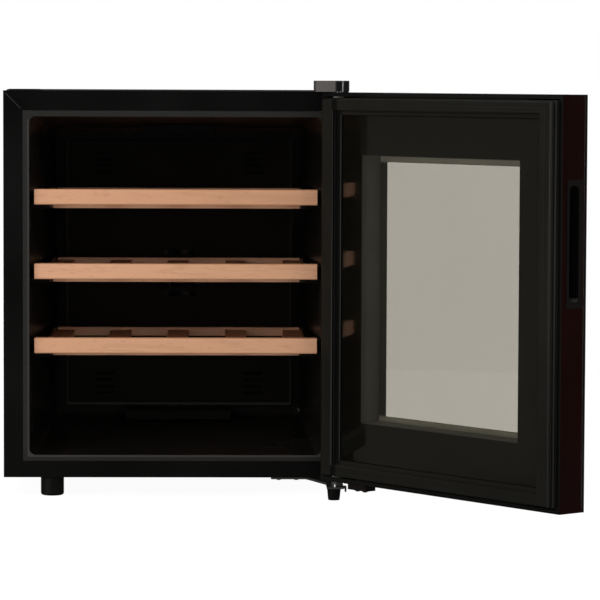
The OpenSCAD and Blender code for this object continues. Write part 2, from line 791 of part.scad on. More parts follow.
// Touch board behind the front glass, above the window
module control_board() color([0.08, 0.28, 0.16]) in_door() {
    y = door_outer + glass + 0.1;
    block([-55, y + 1.8, door_top - 56], [55, y + 3.4, door_top - 24]);
    block([-20, y, door_top - 50], [20, y + 1.8, door_top - 32]);
    for (x = [-44, -32, 32, 44]) rod_y(4, y, y + 1.8, x, door_top - 41, 32);
    block([40, y + 3.4, door_top - 50], [52, y + 6.5, door_top - 42]);
}

// Flanged bush with a running bore for a hinge pin
module bush(length)
    difference() {
        cylinder(r = 6.8, h = length, $fn = 48);
        translate([0, 0, -1]) cylinder(r = pin_radius + running_gap, h = length + 2, $fn = 48);
    }

module top_hinge_bush() color([0.9, 0.9, 0.88]) in_door()
    translate([hinge_x, hinge_y, door_top - 16]) bush(16);

module lower_hinge_bush() color([0.9, 0.9, 0.88]) in_door()
    translate([hinge_x, hinge_y, door_bottom]) bush(16);

// Plate under the door: a long pad, a collar round the pin and a tail that meets the bracket's tab
module door_stop_plate() color([0.2, 0.2, 0.18]) in_door() difference() {
    union() {
        block([half_width - pad_end, pad_front, pad_low], [half_width - pad_start, pad_back, door_bottom]);
        block([half_width - pad_start - 1, hinge_y - 4, door_bottom - 2],
            [hinge_x, hinge_y + 8, door_bottom]);
        bore_z(11.5, hinge_x, hinge_y, door_bottom - 2, door_bottom, 48);
        translate([hinge_x, hinge_y, door_bottom - 2]) rotate([0, 0, tail_angle])
            translate([0, -4, 0]) cube([20, 8, 2]);
        translate([hinge_x, hinge_y, door_bottom - 7]) rotate([0, 0, tail_angle])
            translate([16.5, -4, 0]) cube([3.5, 8, 6]);
    }
    bore_z(8, hinge_x, hinge_y, door_bottom - 10, door_bottom + 2, 48);
    door_screw_holes();
}

module door_screws() color([0.6, 0.6, 0.62]) in_door()
    for (x = door_screws_x)
        translate([x, door_screws_y, pad_low]) mirror([0, 0, 1]) screw(screw_r, door_screw_length);

// ---- shelves

module front_bar(level) in_cabinet() {
    r = 2.5;
    translate([-bar_length / 2, bar_front, level - bar_height]) rotate([90, 0, 90])
        linear_extrude(bar_length) union() {
            translate([r, 0]) square([bar_depth - r, bar_height]);
            translate([0, r]) square([bar_depth, bar_height - 2 * r]);
            for (z = [r, bar_height - r]) translate([r, z]) circle(r = r, $fn = 32);
        }
}

module slats(level) in_cabinet()
    for (k = [-2:2])
        block([k * slat_pitch - slat_width / 2, bar_front + bar_depth, level - slat_drop - slat_thick],
            [k * slat_pitch + slat_width / 2, slat_end, level - slat_drop]);

module battens(level) in_cabinet()
    for (y = [58, 148, 238])
        block([-ledge_inner + 2, y, level - slat_drop - slat_thick - batten_thick],
            [ledge_inner - 2, y + 16, level - slat_drop - slat_thick]);

module back_rail(level) in_cabinet()
    block([-161.5, slat_end, level - slat_drop - slat_thick],
        [161.5, slat_end + rail_depth, level - rail_drop]);

module shelf_1_front_bar() color(beech) front_bar(shelf_top);
module shelf_1_slats() color(beech) slats(shelf_top);
module shelf_1_battens() color(beech) battens(shelf_top);
module shelf_1_back_rail() color(beech) back_rail(shelf_top);
module shelf_2_front_bar() color(beech) front_bar(shelf_top - shelf_pitch);
module shelf_2_slats() color(beech) slats(shelf_top - shelf_pitch);
module shelf_2_battens() color(beech) battens(shelf_top - shelf_pitch);
module shelf_2_back_rail() color(beech) back_rail(shelf_top - shelf_pitch);
module shelf_3_front_bar() color(beech) front_bar(shelf_top - 2 * shelf_pitch);
module shelf_3_slats() color(beech) slats(shelf_top - 2 * shelf_pitch);
module shelf_3_battens() color(beech) battens(shelf_top - 2 * shelf_pitch);
module shelf_3_back_rail() color(beech) back_rail(shelf_top - 2 * shelf_pitch);

left_side_panel();
right_side_panel();
top_panel();
base_plate();
rear_panel();
liner();
shelf_runners();
insulation();
duct_panel();
inner_fan_frame();
inner_fan_rotor();
cold_heat_sink();
spacer_block();
thermoelectric_module();
hot_heat_sink();
outer_fan_frame();
outer_fan_rotor();
fan_guard();
power_board();
cable_gland();
light_housing();
light_lens();
temperature_sensor();
drip_tray();
top_hinge_bracket();
top_hinge_pin();
top_hinge_cover();
lower_hinge_bracket();
lower_hinge_pin();
hinge_hole_cap();
cabinet_screws();
rear_feet();
left_front_foot();
right_front_foot();
door_shell();
outer_glass();
inner_glass();
glass_spacer();
inner_frame();
door_insulation();
door_gasket();
gasket_magnets();
handle_pocket();
control_board();
top_hinge_bush();
lower_hinge_bush();
door_stop_plate();
door_screws();
shelf_1_front_bar();
shelf_1_slats();
shelf_1_battens();
shelf_1_back_rail();
shelf_2_front_bar();
shelf_2_slats();
shelf_2_battens();
shelf_2_back_rail();
shelf_3_front_bar();
shelf_3_slats();
shelf_3_battens();
shelf_3_back_rail();
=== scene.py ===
import json
import math

import bmesh
import bpy
from mathutils import Matrix, Vector


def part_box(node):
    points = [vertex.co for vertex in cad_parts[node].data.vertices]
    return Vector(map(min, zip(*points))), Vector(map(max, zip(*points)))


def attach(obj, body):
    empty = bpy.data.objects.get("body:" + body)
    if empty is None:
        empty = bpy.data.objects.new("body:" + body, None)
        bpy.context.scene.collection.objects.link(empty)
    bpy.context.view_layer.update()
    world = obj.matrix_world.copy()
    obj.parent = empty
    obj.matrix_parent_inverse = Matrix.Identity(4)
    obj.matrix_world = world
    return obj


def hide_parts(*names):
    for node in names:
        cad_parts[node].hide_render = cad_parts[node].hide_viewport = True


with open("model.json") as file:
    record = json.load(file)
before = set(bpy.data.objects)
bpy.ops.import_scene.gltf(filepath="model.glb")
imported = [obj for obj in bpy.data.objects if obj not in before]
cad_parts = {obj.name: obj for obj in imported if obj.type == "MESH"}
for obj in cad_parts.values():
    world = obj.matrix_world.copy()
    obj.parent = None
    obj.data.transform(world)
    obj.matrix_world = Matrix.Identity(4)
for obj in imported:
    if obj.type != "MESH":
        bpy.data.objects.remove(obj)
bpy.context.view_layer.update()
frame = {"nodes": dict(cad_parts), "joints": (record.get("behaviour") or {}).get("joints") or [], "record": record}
nodes = frame["nodes"]
mm = 0.001
print("frame loaded:", len(nodes), "nodes")


def findJoint(name):
    for joint in frame["joints"]:
        if joint["name"] == name:
            return joint


doorJoint = findJoint("door_hinge")
hingePin = Vector((doorJoint["pos_m"][0], doorJoint["pos_m"][1], 0))
doorOpen = math.radians(-doorJoint["range_deg"][0])
forward = (0, -1, 0)  # out of the cabinet's front
# pieces of the door are drawn with it shut, then swung to where it stands
doorSwing = Matrix.Translation(hingePin) @ Matrix.Rotation(doorOpen, 4, "Z") @ Matrix.Translation(-hingePin)


def shutBox(name):  # a door node's lowest and highest corners, as if the door were shut
    back = doorSwing.inverted()
    points = [back @ v.co for v in nodes[name].data.vertices]
    low = Vector([min(p[i] for p in points) for i in range(3)])
    high = Vector([max(p[i] for p in points) for i in range(3)])
    return low, high


# build() fills an empty mesh; shut pieces are swung open with the door
def newPiece(name, build, material, body, shut=False, smooth=35):
    mesh = bpy.data.meshes.new(name)
    shape = bmesh.new()
    build(shape)
    bmesh.ops.recalc_face_normals(shape, faces=shape.faces)
    shape.to_mesh(mesh)
    shape.free()
    if shut:
        mesh.transform(doorSwing)
    piece = bpy.data.objects.new(name, mesh)
    bpy.context.collection.objects.link(piece)
    mesh.materials.append(material)
    for face in mesh.polygons:
        face.use_smooth = True
    mesh.set_sharp_from_angle(angle=math.radians(smooth))
    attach(piece, body)
    return piece


def loft(shape, rings):  # joins rings of points one after another, and the last back onto the first
    made = [[shape.verts.new(p) for p in ring] for ring in rings]
    count = len(made[0])
    for first, second in zip(made, made[1:] + made[:1]):
        for i in range(count):
            j = (i + 1) % count
            shape.faces.new((first[i], first[j], second[j], second[i]))


def frameRing(low, high, y):  # four corners of a rectangle in x and z, at depth y
    return [(low[0], y, low[2]), (high[0], y, low[2]), (high[0], y, high[2]), (low[0], y, high[2])]


def startMaterial(name, color, roughness, metallic=0.0, coat=0.0, coatRough=0.05, specular=0.5):
    material = bpy.data.materials.new(name)
    material.use_nodes = True
    tree = material.node_tree
    shader = tree.nodes["Principled BSDF"]
    shader.inputs["Base Color"].default_value = (*color, 1)
    shader.inputs["Roughness"].default_value = roughness
    shader.inputs["Metallic"].default_value = metallic
    shader.inputs["Coat Weight"].default_value = coat
    shader.inputs["Coat Roughness"].default_value = coatRough
    shader.inputs["Specular IOR Level"].default_value = specular
    return material, tree, shader


def addNode(tree, kind, **values):
    node = tree.nodes.new(kind)
    for key, value in values.items():
        if key in node.inputs:
            node.inputs[key].default_value = value
        else:
            setattr(node, key, value)
    return node


def placeCoords(tree, scale=(1, 1, 1)):  # the object's own coordinates, stretched
    coords = addNode(tree, "ShaderNodeTexCoord")
    mapping = addNode(tree, "ShaderNodeMapping")
    mapping.inputs["Scale"].default_value = scale
    tree.links.new(coords.outputs["Object"], mapping.inputs["Vector"])
    return mapping.outputs["Vector"]


noiseLow, noiseHigh = 0.3, 0.7  # most of a noise texture's values lie between these


def noise(tree, vector, scale, detail=4.0, rough=0.5, distortion=0.0):
    node = addNode(tree, "ShaderNodeTexNoise", Scale=scale, Detail=detail, Roughness=rough,
                   Distortion=distortion)
    tree.links.new(vector, node.inputs["Vector"])
    return node.outputs["Fac"]


def ramp(tree, value, stops):
    node = addNode(tree, "ShaderNodeValToRGB")
    while len(node.color_ramp.elements) < len(stops):
        node.color_ramp.elements.new(0.5)
    for element, (place, color) in zip(node.color_ramp.elements, stops):
        element.position = place
        element.color = (*color, 1)
    tree.links.new(value, node.inputs["Fac"])
    return node.outputs["Color"]


def remap(tree, value, low, high, fromLow=noiseLow, fromHigh=noiseHigh):
    node = addNode(tree, "ShaderNodeMapRange")
    node.inputs["From Min"].default_value = fromLow
    node.inputs["From Max"].default_value = fromHigh
    node.inputs["To Min"].default_value = low
    node.inputs["To Max"].default_value = high
    tree.links.new(value, node.inputs["Value"])
    return node.outputs["Result"]


def mixColors(tree, factor, first, second):
    node = addNode(tree, "ShaderNodeMix", data_type="RGBA")
    for value, socket in ((factor, node.inputs[0]), (first, node.inputs[6]), (second, node.inputs[7])):
        if isinstance(value, (int, float)):
            socket.default_value = value
        elif isinstance(value, tuple):
            socket.default_value = (*value, 1)
        else:
            tree.links.new(value, socket)
    return node.outputs[2]


def bump(tree, shader, height, strength, distance):
    node = addNode(tree, "ShaderNodeBump", Strength=strength, Distance=distance)
    tree.links.new(height, node.inputs["Height"])
    tree.links.new(node.outputs["Normal"], shader.inputs["Normal"])


def mathNode(tree, operation, first, second):
    node = addNode(tree, "ShaderNodeMath", operation=operation)
    for value, socket in ((first, node.inputs[0]), (second, node.inputs[1])):
        if isinstance(value, (int, float)):
            socket.default_value = value
        else:
            tree.links.new(value, socket)
    return node.outputs[0]


# a soft step from 0 to 1 as the value goes from low to high
def step(tree, value, low, high):
    return remap(tree, value, 0.0, 1.0, low, high)


def band(tree, value, low, high, fade):  # 1 between low and high
    rising = step(tree, value, low - fade, low)
    return mathNode(tree, "MULTIPLY", rising, step(tree, value, high + fade, high))


def placeAxes(tree):  # the object's own x, y and z, as separate values
    split = addNode(tree, "ShaderNodeSeparateXYZ")
    tree.links.new(placeCoords(tree), split.inputs[0])
    return split.outputs


def facing(tree, direction):  # 1 where the surface faces that way, in the object's own coordinates
    coords = addNode(tree, "ShaderNodeTexCoord")
    along = addNode(tree, "ShaderNodeVectorMath", operation="DOT_PRODUCT")
    tree.links.new(coords.outputs["Normal"], along.inputs[0])
    along.inputs[1].default_value = direction
    return along.outputs["Value"]


def shutAcross(tree):  # a door piece's x as if the door were shut
    direction = doorSwing.to_3x3() @ Vector((1, 0, 0))
    along = addNode(tree, "ShaderNodeVectorMath", operation="DOT_PRODUCT")
    tree.links.new(placeCoords(tree), along.inputs[0])
    along.inputs[1].default_value = direction
    return mathNode(tree, "SUBTRACT", along.outputs["Value"], doorSwing.translation.dot(direction))


def recolor(material, mask, color):  # lays a second colour over the base colour where the mask is 1
    tree = material.node_tree
    socket = tree.nodes["Principled BSDF"].inputs["Base Color"]
    tree.links.new(mixColors(tree, mask, socket.links[0].from_socket, color), socket)


# plastics and paints: one recipe, and a dictionary for each finish over these common values
plainFinish = {"patch": 9, "shade": 0.8, "tint": 1.2, "roughSpread": 0.06, "depth": 0.0002, "coat": 0,
               "specular": 0.5}


def speckledFinish(name, look):
    look = dict(plainFinish, **look)
    material, tree, shader = startMaterial(name, look["color"], look["rough"], coat=look["coat"],
                                           specular=look["specular"])
    coords = placeCoords(tree)
    broad = noise(tree, coords, look["patch"], 3)  # soft clouds, a hand's width across
    fine = noise(tree, coords, look["grain"], 2, 0.6)
    dark = tuple(c * look["shade"] for c in look["color"])
    light = tuple(c * look["tint"] for c in look["color"])
    tree.links.new(ramp(tree, broad, [(noiseLow, dark), (noiseHigh, light)]), shader.inputs["Base Color"])
    spread = look["roughSpread"]
    rough = remap(tree, broad, look["rough"] - spread, look["rough"] + spread)
    tree.links.new(rough, shader.inputs["Roughness"])
    bump(tree, shader, fine, look["bump"], look["depth"])
    return material


satinPaintLook = {"color": (0.0030, 0.0030, 0.0028), "rough": 0.40, "grain": 900, "bump": 0.10,
                  "specular": 0.22}
glossLinerLook = {"color": (0.0125, 0.0106, 0.0086), "rough": 0.24, "grain": 60, "bump": 0.05,
                  "roughSpread": 0.04, "depth": 0.0006, "specular": 0.35}
runnerLook = {"color": (0.0032, 0.0031, 0.0028), "rough": 0.35, "grain": 700, "bump": 0.10, "specular": 0.35}
ductLook = {"color": (0.0080, 0.0070, 0.0026), "rough": 0.30, "grain": 80, "bump": 0.04, "roughSpread": 0.03,
            "specular": 0.3}
fanLook = {"color": (0.006, 0.006, 0.006), "rough": 0.45, "grain": 700, "bump": 0.12, "specular": 0.3}
rotorLook = {"color": (0.008, 0.008, 0.008), "rough": 0.40, "grain": 700, "bump": 0.10, "specular": 0.3}
ceramicLook = {"color": (0.80, 0.80, 0.77), "rough": 0.55, "grain": 800, "bump": 0.08, "shade": 0.95,
               "tint": 1.03}
coverLook = {"color": (0.007, 0.007, 0.008), "rough": 0.13, "grain": 300, "bump": 0.02, "roughSpread": 0.02,
             "specular": 0.7}
capLook = {"color": (0.005, 0.005, 0.005), "rough": 0.42, "grain": 700, "bump": 0.10, "specular": 0.3}
footLook = {"color": (0.0035, 0.0034, 0.0030), "rough": 0.50, "grain": 500, "bump": 0.15, "roughSpread": 0.10,
            "specular": 0.25}
doorGlossLook = {"color": (0.0068, 0.0012, 0.0009), "rough": 0.14, "grain": 50, "bump": 0.015, "coat": 0.3,
                 "roughSpread": 0.02, "depth": 0.0004, "specular": 0.4}
doorFrameLook = {"color": (0.0074, 0.0071, 0.0050), "rough": 0.34, "grain": 600, "bump": 0.06,
                 "specular": 0.3}
gasketLook = {"color": (0.0088, 0.0084, 0.0060), "rough": 0.46, "grain": 420, "bump": 0.10,
              "roughSpread": 0.08, "specular": 0.3}
spacerLook = {"color": (0.115, 0.112, 0.094), "rough": 0.40, "grain": 500, "bump": 0.06}
inkLook = {"color": (0.0062, 0.0060, 0.0036), "rough": 0.35, "grain": 900, "bump": 0.03, "specular": 0.2}
frontInkLook = {"color": (0.0060, 0.0010, 0.0014), "rough": 0.40, "grain": 900, "bump": 0.03}
handleLook = {"color": (0.0030, 0.0030, 0.0028), "rough": 0.16, "specular": 0.6, "grain": 120, "bump": 0.05,
              "roughSpread": 0.04}
bushLook = {"color": (0.72, 0.72, 0.68), "rough": 0.40, "grain": 500, "bump": 0.05, "shade": 0.95,
            "tint": 1.03}
stopLook = {"color": (0.0075, 0.0045, 0.0035), "rough": 0.45, "grain": 600, "bump": 0.12, "specular": 0.3}
magnetLook = {"color": (0.030, 0.028, 0.027), "rough": 0.60, "grain": 900, "bump": 0.20}
boardLook = {"color": (0.010, 0.075, 0.030), "rough": 0.35, "grain": 300, "bump": 0.10, "shade": 0.7}
shadedFoamLook = {"color": (0.012, 0.011, 0.009), "rough": 0.85, "grain": 260, "bump": 0.50, "depth": 0.0010}
foamLook = {"color": (0.70, 0.58, 0.32), "rough": 0.85, "grain": 260, "bump": 0.50, "depth": 0.0010,
            "roughSpread": 0.1}
sensorLook = {"color": (0.0045, 0.0045, 0.0045), "rough": 0.42, "grain": 600, "bump": 0.10, "specular": 0.3}

# galvanised sheet: flakes of zinc, each with its own shade and gloss
zincLook = {"color": (0.52, 0.53, 0.55), "dark": (0.34, 0.35, 0.37), "glossy": 0.28, "dull": 0.50,
            "metal": 0.45, "cell": 90, "grain": 500, "bump": 0.06, "depth": 0.0002}


def spangledZinc(name, look):
    material, tree, shader = startMaterial(name, look["color"], look["dull"], look["metal"])
    coords = placeCoords(tree)
    cells = addNode(tree, "ShaderNodeTexVoronoi", Scale=look["cell"], Randomness=1.0)
    tree.links.new(coords, cells.inputs["Vector"])
    split = addNode(tree, "ShaderNodeSeparateColor")
    tree.links.new(cells.outputs["Color"], split.inputs["Color"])
    flake = split.outputs[0]
    shades = ramp(tree, flake, [(0.0, look["dark"]), (1.0, look["color"])])
    tree.links.new(shades, shader.inputs["Base Color"])
    tree.links.new(remap(tree, flake, look["glossy"], look["dull"], 0, 1), shader.inputs["Roughness"])
    bump(tree, shader, noise(tree, coords, look["grain"], 2), look["bump"], look["depth"])
    return material


# bare metals: fine marks, stretched along the axis that has the smallest number
finsLook = {"color": (0.72, 0.73, 0.75), "rough": 0.34, "stretch": (1, 1, 0.02)}
wireLook = {"color": (0.66, 0.67, 0.69), "rough": 0.24, "stretch": (1, 1, 1)}
hingeLook = {"color": (0.60, 0.60, 0.61), "rough": 0.34, "stretch": (1, 0.05, 1)}
pinLook = {"color": (0.62, 0.62, 0.63), "rough": 0.22, "stretch": (1, 1, 6)}
screwLook = {"color": (0.60, 0.60, 0.62), "rough": 0.30, "stretch": (1, 1, 1)}
metalMarks = {"scale": 300, "shade": 0.82, "glossier": 0.07, "duller": 0.09, "bump": 0.08, "depth": 0.0001}


def turnedMetal(name, look):
    material, tree, shader = startMaterial(name, look["color"], look["rough"], 1.0)
    streaks = noise(tree, placeCoords(tree, look["stretch"]), metalMarks["scale"], 3, 0.6)
    dark = tuple(c * metalMarks["shade"] for c in look["color"])
    shades = ramp(tree, streaks, [(noiseLow, dark), (noiseHigh, look["color"])])
    tree.links.new(shades, shader.inputs["Base Color"])
    glossy, dull = look["rough"] - metalMarks["glossier"], look["rough"] + metalMarks["duller"]
    tree.links.new(remap(tree, streaks, glossy, dull), shader.inputs["Roughness"])
    bump(tree, shader, streaks, metalMarks["bump"], metalMarks["depth"])
    return material


# beech: rings along the piece, short ray flecks, broad shifts from pale to warm
beechLook = {
    "pale": (0.68, 0.355, 0.200), "warm": (0.60, 0.300, 0.160), "line": (0.42, 0.190, 0.095),
    "drift": 7, "warmTo": 0.32, "paleFrom": 0.68, "pores": 900,
    "rings": 78, "ringStretch": 0.10, "ringBend": 1.4, "ringFrom": 0.5, "ringFull": 0.72, "ringDepth": 0.42,
    "flecks": 396, "fleckStretch": 0.22, "fleckFrom": 0.62, "fleckFull": 0.74, "fleckDepth": 0.30,
    "glossy": 0.36, "dull": 0.52, "coat": 0.12, "coatRough": 0.25, "bump": 0.12, "depth": 0.0002,
}


def stretchAlong(along, amount):  # texture scale for marks drawn out along x or y
    return (amount, 1, 1) if along == "x" else (1, amount, 1)


def beech(name, along, look):
    material, tree, shader = startMaterial(name, look["pale"], look["dull"], coat=look["coat"],
                                           coatRough=look["coatRough"])
    coords = placeCoords(tree, stretchAlong(along, look["ringStretch"]))
    drift = noise(tree, coords, look["drift"], 3, 0.55)
    rings = noise(tree, coords, look["rings"], 5, 0.6, look["ringBend"])
    pores = noise(tree, coords, look["pores"], 2, 0.5)
    fleckCoords = placeCoords(tree, stretchAlong(along, look["fleckStretch"]))
    flecks = noise(tree, fleckCoords, look["flecks"], 1, 0.4)
    ground = ramp(tree, drift, [(look["warmTo"], look["warm"]), (look["paleFrom"], look["pale"])])
    onRings = remap(tree, rings, 0.0, look["ringDepth"], look["ringFrom"], look["ringFull"])
    grained = mixColors(tree, onRings, ground, look["line"])
    onFlecks = remap(tree, flecks, 0.0, look["fleckDepth"], look["fleckFrom"], look["fleckFull"])
    tree.links.new(mixColors(tree, onFlecks, grained, look["line"]), shader.inputs["Base Color"])
    tree.links.new(remap(tree, rings, look["glossy"], look["dull"]), shader.inputs["Roughness"])
    bump(tree, shader, mathNode(tree, "ADD", pores, rings), look["bump"], look["depth"])
    return material


# the panes: clear glass with faint smears
frontGlassLook = {"tint": (0.572, 0.551, 0.497), "clean": 0.01, "smeared": 0.03}
innerGlassLook = {"tint": (0.80, 0.785, 0.75), "clean": 0.01, "smeared": 0.03}
smears = {"scale": 6, "shade": 0.98, "ior": 1.47}


def clearPane(name, look):
    material, tree, shader = startMaterial(name, look["tint"], look["clean"])
    shader.inputs["Transmission Weight"].default_value = 1.0
    shader.inputs["IOR"].default_value = smears["ior"]
    smear = noise(tree, placeCoords(tree), smears["scale"], 3)
    tree.links.new(remap(tree, smear, look["clean"], look["smeared"]), shader.inputs["Roughness"])
    dark = tuple(c * smears["shade"] for c in look["tint"])
    tree.links.new(ramp(tree, smear, [(0.2, dark), (0.8, look["tint"])]), shader.inputs["Base Color"])
    return material


lensLook = {"color": (0.85, 0.88, 0.90), "through": 0.7, "ribs": 240, "stretch": (8, 1, 1),
            "glossy": 0.38, "dull": 0.55, "bump": 0.2, "depth": 0.0003}


def frostedLens(name, look):
    material, tree, shader = startMaterial(name, look["color"], look["dull"])
    shader.inputs["Transmission Weight"].default_value = look["through"]
    ribs = noise(tree, placeCoords(tree, look["stretch"]), look["ribs"], 1)
    tree.links.new(remap(tree, ribs, look["glossy"], look["dull"]), shader.inputs["Roughness"])
    bump(tree, shader, ribs, look["bump"], look["depth"])
    return material


finishes = {
    "black_steel": speckledFinish("satinPaint", satinPaintLook),
    "base_steel": speckledFinish("basePaint", satinPaintLook),
    "galvanised": spangledZinc("spangledZinc", zincLook),
    "liner_plastic": speckledFinish("glossLiner", glossLinerLook),
    "runner_plastic": speckledFinish("runnerPlastic", runnerLook),
    "foam": speckledFinish("rigidFoam", foamLook),
    "duct_plastic": speckledFinish("ductPlastic", ductLook),
    "fan_plastic": speckledFinish("fanHousing", fanLook),
    "rotor_plastic": speckledFinish("fanBlades", rotorLook),
    "heat_sink": turnedMetal("extrudedAluminium", finsLook),
    "ceramic_module": speckledFinish("ceramicPlate", ceramicLook),
    "guard_wire": turnedMetal("platedWire", wireLook),
    "circuit_board": speckledFinish("solderMask", boardLook),
    "gland_plastic": speckledFinish("glandNylon", capLook),
    "light_plastic": speckledFinish("lightHousing", sensorLook),
    "lens_plastic": frostedLens("frostedLens", lensLook),
    "sensor_plastic": speckledFinish("sensorClip", sensorLook),
    "hinge_steel": turnedMetal("zincPlatedSteel", hingeLook),
    "pin_steel": turnedMetal("turnedSteel", pinLook),
    "hinge_cover": speckledFinish("hingeCover", coverLook),
    "cap_plastic": speckledFinish("capPlastic", capLook),
    "screw_steel": turnedMetal("screwZinc", screwLook),
    "foot_plastic": speckledFinish("footPlastic", footLook),
    "door_gloss": speckledFinish("maroonGloss", doorGlossLook),
    "front_glass": clearPane("smokedGlass", frontGlassLook),
    "inner_pane": clearPane("innerGlass", innerGlassLook),
    "spacer_plastic": speckledFinish("spacerProfile", spacerLook),
    "door_frame": speckledFinish("doorFrame", doorFrameLook),
    "gasket": speckledFinish("gasketVinyl", gasketLook),
    "magnet": speckledFinish("bondedMagnet", magnetLook),
    "handle_plastic": speckledFinish("handleGloss", handleLook),
    "bush_plastic": speckledFinish("acetal", bushLook),
    "stop_plastic": speckledFinish("stopPlate", stopLook),
}

beechAcross = beech("beechAcross", "x", beechLook)
slatShade = (0.92, 0.76, 0.64)  # painted shade: the slats are the bars' beech, darkened and reddened as by the cavity's shade and warm reflected light
shadedSlatLook = dict(beechLook)
for tone in ("pale", "warm"):
    shadedSlatLook[tone] = tuple(c * t for c, t in zip(beechLook[tone], slatShade))
beechShadedSlats = beech("beechShadedSlats", "y", shadedSlatLook)
slotOf = {part["node"]: part["material_slot"] for part in frame["record"]["subparts"]}


def dress(node, material):
    mesh = nodes[node].data
    mesh.materials.clear()
    mesh.materials.append(material)


for nodeName in nodes:
    if slotOf[nodeName] == "beech":
        dress(nodeName, beechShadedSlats if nodeName.endswith("slats") else beechAcross)
    else:
        dress(nodeName, finishes[slotOf[nodeName]])
# painted shade: the door's foam shows only in narrow gaps, where shade falls, so it is made near black
dress("door_insulation", speckledFinish("shadedDoorFoam", shadedFoamLook))

# the liner's rim: grey, with painted shade making it a little darker along the bottom and a painted highlight
# along its inner edge
# the cavity's top gets a warmer brown: painted light, reflected from the shelves
rim = {
    "face": -0.2120, "faceFade": 0.001, "color": (0.0210, 0.0202, 0.0190),
    "low": (0.0185, 0.0175, 0.0165), "lowTop": 0.060, "lowFade": 0.004,
    "edge": (0.0400, 0.0385, 0.0360), "edgeWide": 0.0018, "edgeSharp": 0.6,
    "halfWide": 0.1838, "bottom": 0.0512, "top": 0.4700,
    "ceiling": (0.0550, 0.0310, 0.0190), "ceilingFrom": 0.452, "ceilingFade": 0.006,
}


def linerTones(material, look):
    tree = material.node_tree
    x, y, z = placeAxes(tree)
    # painted light: warm brown on the cavity's top, light reflected from the shelves
    onCeiling = step(tree, z, look["ceilingFrom"], look["ceilingFrom"] + look["ceilingFade"])
    recolor(material, onCeiling, look["ceiling"])
    onRim = step(tree, y, look["face"] + look["faceFade"], look["face"])
    recolor(material, onRim, look["color"])
    # painted shade: the rim is a little darker along the bottom
    isLow = step(tree, z, look["lowTop"], look["lowTop"] - look["lowFade"])
    lowRimShade = mathNode(tree, "MULTIPLY", onRim, isLow)
    recolor(material, lowRimShade, look["low"])
    # painted highlight: a paler line along the rim's inner edge
    beside = mathNode(tree, "SUBTRACT", mathNode(tree, "ABSOLUTE", x, 0.0), look["halfWide"])
    below = mathNode(tree, "SUBTRACT", look["bottom"], z)
    above = mathNode(tree, "SUBTRACT", z, look["top"])
    past = mathNode(tree, "MAXIMUM", above, mathNode(tree, "MAXIMUM", beside, below))
    rimEdgeHighlight = step(tree, past, look["edgeWide"], look["edgeWide"] * look["edgeSharp"])
    recolor(material, mathNode(tree, "MULTIPLY", onRim, rimEdgeHighlight), look["edge"])


linerTones(finishes["liner_plastic"], rim)


# painted highlight: a paler band along the duct panel's sides and foot, where its edges catch the light
ductEdgeHighlight = {"wide": 0.0030, "fade": 0.0005, "color": (0.036, 0.035, 0.028)}


def paintDuctEdgeHighlight(material, look):
    tree = material.node_tree
    low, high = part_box("duct_panel")
    x, _, z = placeAxes(tree)
    nearSide = step(tree, mathNode(tree, "ABSOLUTE", x, 0.0), high.x - look["wide"], high.x)
    onPanel = step(tree, z, low.z - look["fade"], low.z)
    nearFoot = band(tree, z, low.z, low.z + look["wide"], look["fade"])
    nearEdge = mathNode(tree, "MULTIPLY", mathNode(tree, "MAXIMUM", nearSide, nearFoot), onPanel)
    recolor(material, nearEdge, look["color"])


paintDuctEdgeHighlight(finishes["duct_plastic"], ductEdgeHighlight)

# the body's sheets are a paler black than their front flange
bodyTone = {"color": (0.0210, 0.0208, 0.0200), "front": 0.6, "side": 0.2}
for slotName in ("black_steel", "base_steel"):
    bodyTree = finishes[slotName].node_tree
    offFront = step(bodyTree, facing(bodyTree, forward), bodyTone["front"], bodyTone["side"])
    recolor(finishes[slotName], offFront, bodyTone["color"])

# the hinge cover: near black glossy plastic; a painted reflection makes it grey in front except towards its outer
# corner, and a painted sheen makes its top and sides a darker grey
cover = {"flat": (0.100, 0.091, 0.086), "flatTo": 0.1962, "fade": 0.0024,
         "side": (0.05, 0.05, 0.052), "sideFrom": 0.30, "sideFull": 0.05}
coverTree = finishes["hinge_cover"].node_tree
flatReflection = step(coverTree, placeAxes(coverTree)[0], cover["flatTo"] + cover["fade"], cover["flatTo"])
recolor(finishes["hinge_cover"], flatReflection, cover["flat"])
sideSheen = step(coverTree, facing(coverTree, forward), cover["sideFrom"], cover["sideFull"])
recolor(finishes["hinge_cover"], sideSheen, cover["side"])

latchward = doorSwing.to_3x3() @ Vector((-1, 0, 0))
inward = doorSwing.to_3x3() @ Vector((0, 1, 0))
turnedIn = (0.5, 0.8)  # how squarely a face must look into the cabinet to count as an inner face

# the seal: painted shade darkens its foot on the hinge side, and a painted highlight makes its crest paler towards
# the latch
sealShade = {"from": 0.1755, "to": 0.1850, "fade": 0.0008, "color": (0.0016, 0.0016, 0.0014)}
sealCrestHighlight = {"from": 0.45, "to": 0.80, "fade": 0.10, "color": (0.0230, 0.0222, 0.0205)}


def sealTones(material, shade, crest):
    tree = material.node_tree
    onFoot = band(tree, shutAcross(tree), shade["from"], shade["to"], shade["fade"])
    recolor(material, onFoot, shade["color"])
    onCrestHighlight = band(tree, facing(tree, latchward), crest["from"], crest["to"], crest["fade"])
    recolor(material, onCrestHighlight, crest["color"])


sealTones(finishes["gasket"], sealShade, sealCrestHighlight)

# the recess: dark face and floor, with painted highlights: paler rounded edges and a pale wall at its lower end
recess = {
    "flat": (0.0055, 0.0046, 0.0040), "flatFrom": 0.90, "flatFull": 0.97,
    "edge": (0.080, 0.080, 0.076), "edgeFrom": 0.35, "edgeTo": 0.90, "edgeFade": 0.05,
    "end": (0.050, 0.050, 0.048), "endFrom": 0.25, "endFull": 0.60,
}


